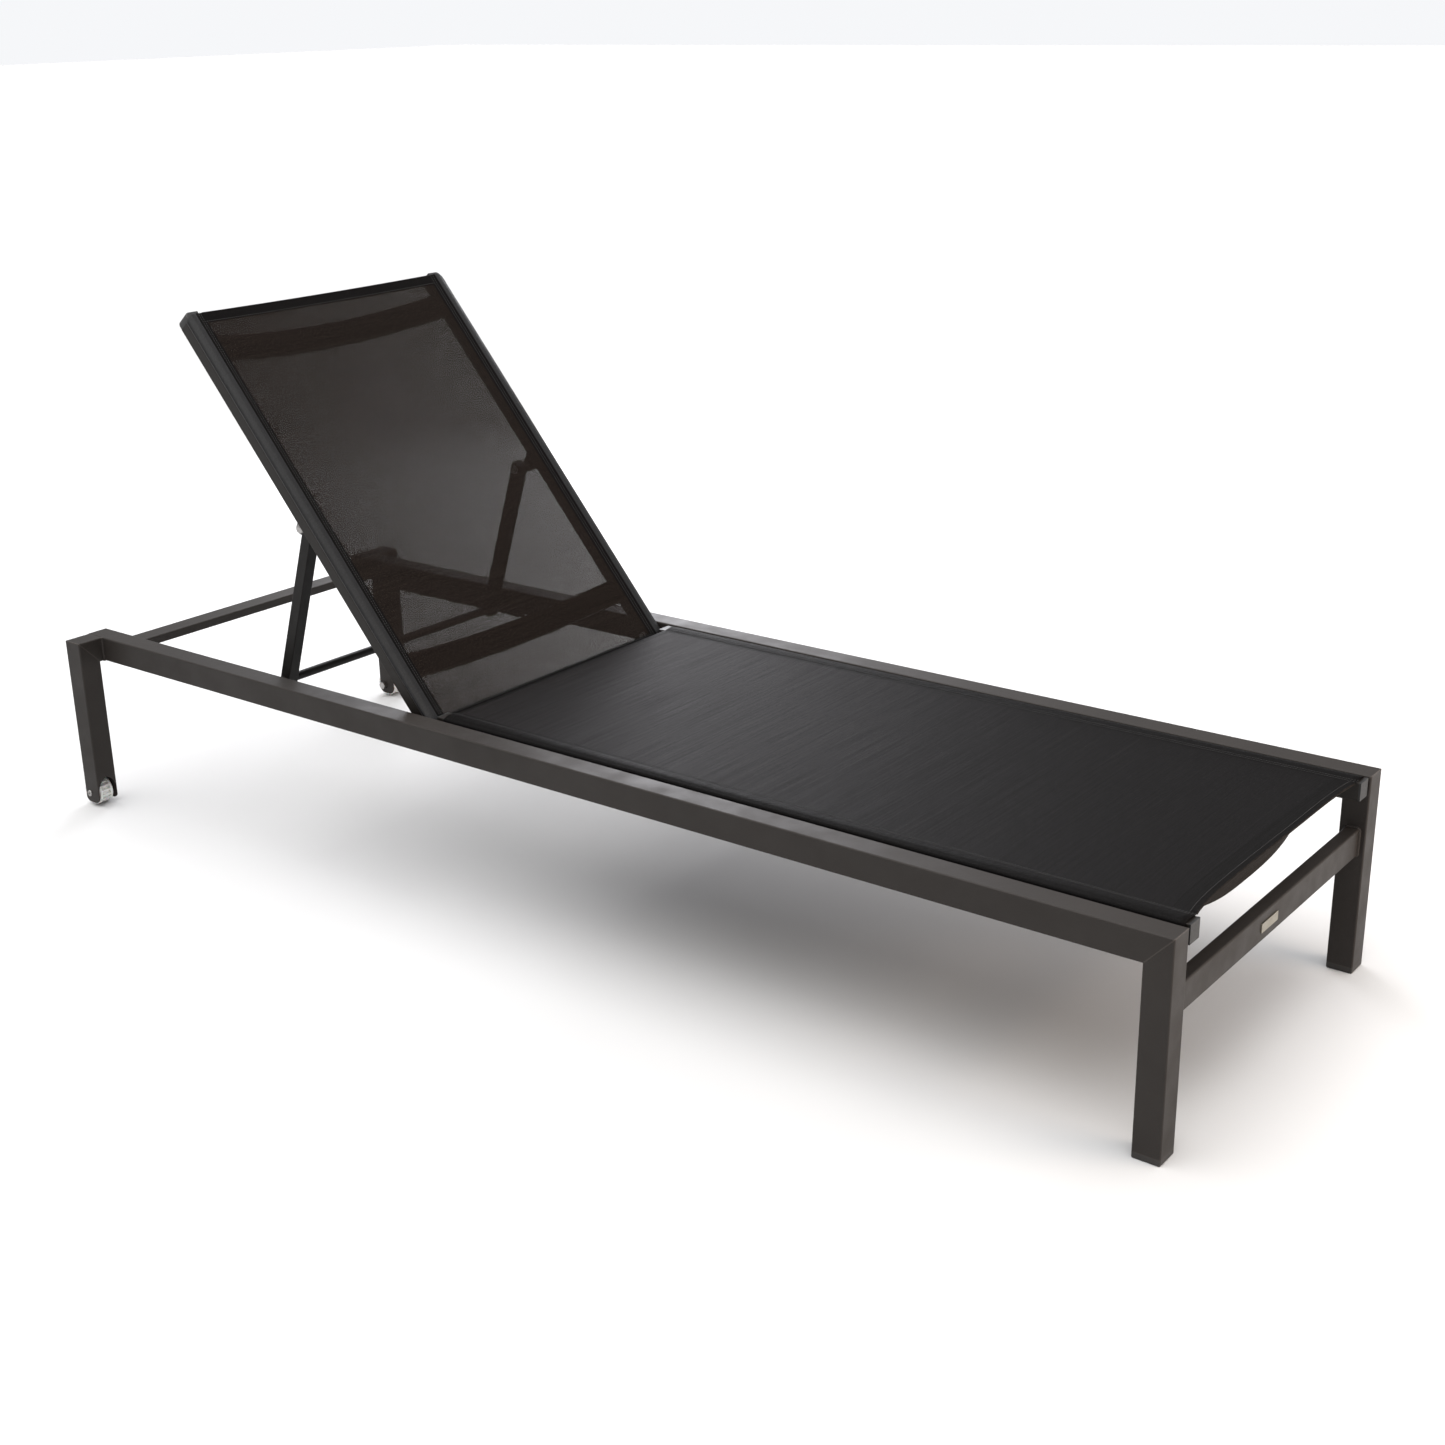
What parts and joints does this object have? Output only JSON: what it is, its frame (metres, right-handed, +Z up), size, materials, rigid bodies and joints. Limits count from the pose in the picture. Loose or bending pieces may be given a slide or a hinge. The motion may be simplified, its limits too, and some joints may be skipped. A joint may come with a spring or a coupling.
{
  "type": "reclining sun lounger",
  "caption": "Low tube-framed sun lounger with a woven seat and a hinged woven backrest held up by a swinging prop on notched racks, with wheels at the head end.",
  "frame": {"origin": "middle of the lounger's footprint, on the ground", "axes": "+X from the head end to the foot end, +Y to the left of someone lying on it, +Z up"},
  "size_m": [2.0104, 0.733, 0.8538],
  "materials": {
    "frame_coat": "satin",
    "sling_rail_coat": "satin",
    "sling_weave": "matte",
    "keder_rod": "matte",
    "wheel_nylon": "satin",
    "plate_metal": "satin",
    "bolt_steel": "satin",
    "bush_nylon": "matte",
    "cap_plastic": "matte"
  },
  "bodies": {
    "frame": {"foot_cap_left": "cap_plastic", "foot_cap_right": "cap_plastic", "foot_crossbar": "frame_coat", "foot_leg_left": "frame_coat", "foot_leg_right": "frame_coat", "head_crossbar": "frame_coat", "head_leg_left": "frame_coat", "head_leg_right": "frame_coat", "head_stub_left": "frame_coat", "head_stub_right": "frame_coat", "hinge_bolt_left": "bolt_steel", "hinge_bolt_right": "bolt_steel", "hinge_bushes": "bush_nylon", "hinge_nuts": "bolt_steel", "name_plate": "plate_metal", "rack_left": "frame_coat", "rack_right": "frame_coat", "rail_plugs": "cap_plastic", "seat_crossbar_foot": "frame_coat", "seat_crossbar_head": "frame_coat", "seat_crossbar_middle": "frame_coat", "seat_keder_left": "keder_rod", "seat_keder_right": "keder_rod", "seat_rail_caps": "cap_plastic", "seat_rail_left": "sling_rail_coat", "seat_rail_right": "sling_rail_coat", "seat_rail_screws": "bolt_steel", "seat_sling": "sling_weave", "side_rail_left": "frame_coat", "side_rail_right": "frame_coat", "wheel_bolt_left": "bolt_steel", "wheel_bolt_right": "bolt_steel", "wheel_nuts": "bolt_steel"},
    "backrest": {"back_crossbar_lower": "frame_coat", "back_crossbar_upper": "frame_coat", "back_keder_left": "keder_rod", "back_keder_right": "keder_rod", "back_rail_bottom_caps": "cap_plastic", "back_rail_cap_left": "cap_plastic", "back_rail_cap_right": "cap_plastic", "back_rail_left": "sling_rail_coat", "back_rail_right": "sling_rail_coat", "back_sling": "sling_weave", "prop_bolt_left": "bolt_steel", "prop_bolt_right": "bolt_steel", "prop_lug_left": "frame_coat", "prop_lug_right": "frame_coat", "prop_nuts": "bolt_steel", "prop_spacers": "bush_nylon"},
    "prop": {"prop_arm_left": "frame_coat", "prop_arm_plugs": "cap_plastic", "prop_arm_right": "frame_coat", "prop_rod": "frame_coat"},
    "wheel_left": {"wheel_left": "wheel_nylon"},
    "wheel_right": {"wheel_right": "wheel_nylon"}
  },
  "joints": [
    {"name": "backrest_hinge", "type": "hinge", "parent": "frame", "child": "backrest", "pos_m": [-0.23845, 0, 0.279], "axis": [0, -1, 0], "range_deg": [0, 50]},
    {"name": "prop_hinge", "type": "hinge", "parent": "backrest", "child": "prop", "pos_m": [-0.49272, 0, 0.54002], "axis": [0, 1, 0], "range_deg": [0, 123.91]},
    {"name": "wheel_left_spin", "type": "hinge", "parent": "frame", "child": "wheel_left", "pos_m": [-0.98275, 0.3455, 0.0225], "axis": [0, 1, 0], "continuous": true},
    {"name": "wheel_right_spin", "type": "hinge", "parent": "frame", "child": "wheel_right", "pos_m": [-0.98275, -0.3455, 0.0225], "axis": [0, 1, 0], "continuous": true}
  ],
  "couplings": [
    {"joint": "prop_hinge", "follows": "backrest_hinge", "ratio": 2.4742}
  ]
}
